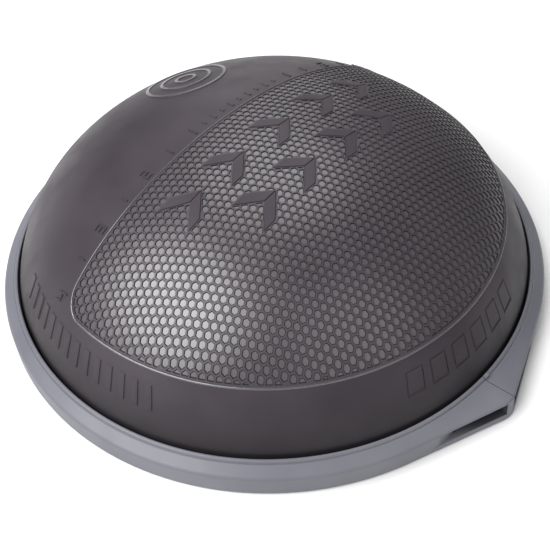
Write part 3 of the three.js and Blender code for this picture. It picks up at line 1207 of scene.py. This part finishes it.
def slot_painted_shade():
    """The inside of a finger slot: painted shade, dark near the tip and easing to the ring's own
    colour at its far end.
    """
    mat = moulded("slot_painted_shade", (0.029, 0.029, 0.034), (0.038, 0.038, 0.044), (0.55, 0.65),
                  grain=1300, grain_depth=0.00007, specular=0.3)
    return toned(mat, "Y", (0.030, 0.078), (1, 3.8))


def deck_plastic():
    return moulded("deck_plastic", (0.022, 0.023, 0.026), (0.032, 0.033, 0.037), (0.5, 0.62),
                   grain=700, grain_depth=0.0001)


def foot_rubber():
    return moulded("foot_rubber", (0.014, 0.014, 0.015), (0.022, 0.022, 0.023), (0.75, 0.9),
                   grain=1200, grain_depth=0.00008)


def valve_plastic():
    return moulded("valve_plastic", (0.020, 0.020, 0.023), (0.030, 0.030, 0.033), (0.42, 0.52))


def zinc_steel():
    mat, tree, shader = material("zinc_steel")
    tree.links.new(shades(tree, noise(tree, 300, 3), (0.42, 0.43, 0.45), (0.56, 0.57, 0.59)),
                   shader.inputs["Base Color"])
    tree.links.new(spread(tree, noise(tree, 700, 4), 0.28, 0.44), shader.inputs["Roughness"])
    bumped(tree, shader, noise(tree, 2600, 2), 0.35, 0.00003)
    shader.inputs["Metallic"].default_value = 1
    return mat


def toned(mat, axis, reach, factors):
    """Scales a material's colour by a factor that changes smoothly with distance from a plane.

    axis names the coordinate that is measured, reach is its two distances in metres, and
    factors are the colour's factors there.
    """
    tree = mat.node_tree
    base = tree.nodes["Principled BSDF"].inputs["Base Color"]
    colour = base.links[0].from_socket
    place = tree.nodes.new("ShaderNodeTexCoord")
    axes = tree.nodes.new("ShaderNodeSeparateXYZ")
    distance = tree.nodes.new("ShaderNodeMath")
    distance.operation = "ABSOLUTE"
    span = ranged(tree, reach, factors)
    span.interpolation_type = "SMOOTHSTEP"
    mix = tree.nodes.new("ShaderNodeVectorMath")
    mix.operation = "SCALE"
    tree.links.new(place.outputs["Object"], axes.inputs["Vector"])
    tree.links.new(axes.outputs[axis], distance.inputs[0])
    tree.links.new(distance.outputs["Value"], span.inputs["Value"])
    tree.links.new(colour, mix.inputs[0])
    tree.links.new(span.outputs["Result"], mix.inputs["Scale"])
    tree.links.new(mix.outputs["Vector"], base)
    return mat


def give(ob, *mats):
    """Puts materials in an object's slots and leaves its faces' slot numbers alone."""
    slots = ob.data.materials
    for i, mat in enumerate(mats):
        if i < len(slots):
            slots[i] = mat
        else:
            slots.append(mat)


# ---------------------------------------------------------------- stage

def floor():
    """A plain pale floor, just below the feet so that the faces don't coincide."""
    bm = bmesh.new()
    bmesh.ops.create_grid(bm, x_segments=1, y_segments=1, size=14)
    mesh = bpy.data.meshes.new("floor")
    bm.to_mesh(mesh)
    bm.free()
    ob = new_object("floor", mesh)
    ob.location.z = -0.2 * MM
    mat, _, shader = material("floor_paper")
    shader.inputs["Base Color"].default_value = (0.83, 0.83, 0.83, 1)
    shader.inputs["Roughness"].default_value = 0.9
    shader.inputs["Specular IOR Level"].default_value = 0.1
    give(ob, mat)


def softbox(name, direction, distance, size, power):
    """A round area light that faces the object from a direction."""
    data = bpy.data.lights.new(name, "AREA")
    data.shape = "DISK"
    data.size = size
    data.energy = power
    lamp = bpy.data.objects.new(name, data)
    bpy.context.scene.collection.objects.link(lamp)
    aim = Vector(direction).normalized()
    lamp.location = aim * distance + Vector((0, 0, 0.1))
    lamp.rotation_euler = aim.to_track_quat("Z", "Y").to_euler()


def studio():
    """A dim white surround and four softboxes, placed to give the photograph's highlights."""
    world = bpy.data.worlds.new("studio")
    bpy.context.scene.world = world
    world.use_nodes = True
    sky = world.node_tree.nodes["Background"]
    sky.inputs["Color"].default_value = (1, 1, 1, 1)
    sky.inputs["Strength"].default_value = 0.24
    softbox("key", (-0.17, -0.68, 0.72), distance=3.2, size=3.0, power=162)
    softbox("back", (-0.72, 0.72, 0.42), distance=2.6, size=1.8, power=10)
    softbox("side", (0.78, -0.1, 0.6), distance=2.6, size=2.2, power=12)
    softbox("top", (-0.35, 0.35, 1), distance=2.8, size=2.2, power=34)
    bpy.context.scene.view_settings.view_transform = "Standard"


def camera():
    """The photograph's viewpoint: 45.5 degrees round from the front, looking down at 47."""
    data = bpy.data.cameras.new("camera")
    data.lens = 58.45
    data.sensor_width = 36
    data.clip_end = 50
    ob = bpy.data.objects.new("camera", data)
    bpy.context.scene.collection.objects.link(ob)
    place = Vector((0.5433, -0.5339, 0.8137))
    target = Vector((0.0007, 0.0007, -0.0310))
    back = (place - target).normalized()
    right = Vector((0, 0, 1)).cross(back).normalized()
    up = back.cross(right)
    roll = -0.0502
    tilted = right * math.cos(roll) + up * math.sin(roll)
    upright = up * math.cos(roll) - right * math.sin(roll)
    turn = Matrix((tilted, upright, back)).transposed().to_4x4()
    ob.matrix_world = Matrix.Translation(place) @ turn
    bpy.context.scene.camera = ob


# ---------------------------------------------------------------- build

def add_dome():
    """The dome, with the materials of its skin, baked in place."""
    ob = dome_skin()
    # The land's colour darkens towards the dome's foot as painted shade: 0.35 of it at 34 mm up,
    # all of it from 100 mm up.
    land_painted_shade = toned(dome_vinyl(), "Z", (0.034, 0.100), (0.35, 1))
    finishes = {LAND: land_painted_shade, FLOOR: pocket_vinyl(), CREST_HIGHLIGHT: glossy_crest_painted_highlight(),
                WALL: pocket_wall_painted_shade(), WORN: worn_vinyl()}
    give(ob, *(finishes[slot] for slot in sorted(finishes)))
    weighted_smooth(ob, DOME_SHARP)
    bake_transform(ob)
    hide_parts("dome_bladder")


def add(ob, body, slot, *mats):
    """Finishes a piece: its materials and the body it rides on; its slot is not used."""
    give(ob, *mats)
    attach(ob, body)


def build():
    """Every visible piece, and the materials of the CAD nodes that stay visible."""
    ring, rubber, steel, valve = ring_plastic(), foot_rubber(), zinc_steel(), valve_plastic()
    add_dome()
    # The insides of the finger slots are darkened as painted shade.
    slot = slot_painted_shade()
    add(rim_half("rim_back", "ring_half_back", 0), "base", "ring", ring, slot)
    add(rim_half("rim_front", "ring_half_front", math.pi), "base", "ring", ring, slot)
    pad = tread_pad()
    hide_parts("traction_pad")
    add(pad, "base", "rubber", rubber)
    for index in range(FOOT_COUNT):
        add(foot_cup(index), "base", "rubber", rubber)
    for screw in clamp_bolts() + splice_bolts("right", 1) + splice_bolts("left", -1):
        add(screw, "base", "steel", steel)
    for side, turn in (("right", 0), ("left", math.pi)):
        add(ribbed_liner(side, turn), "base", "rubber", rubber)
        give(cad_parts[f"splice_plate_{side}"], steel)
    give(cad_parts["platform_deck"], deck_plastic())
    add(valve_collar(valve_frame()), "base", "valve", valve)
    add(valve_stopper(valve_frame()), "plug", "valve", valve)


build()
floor()
studio()
camera()
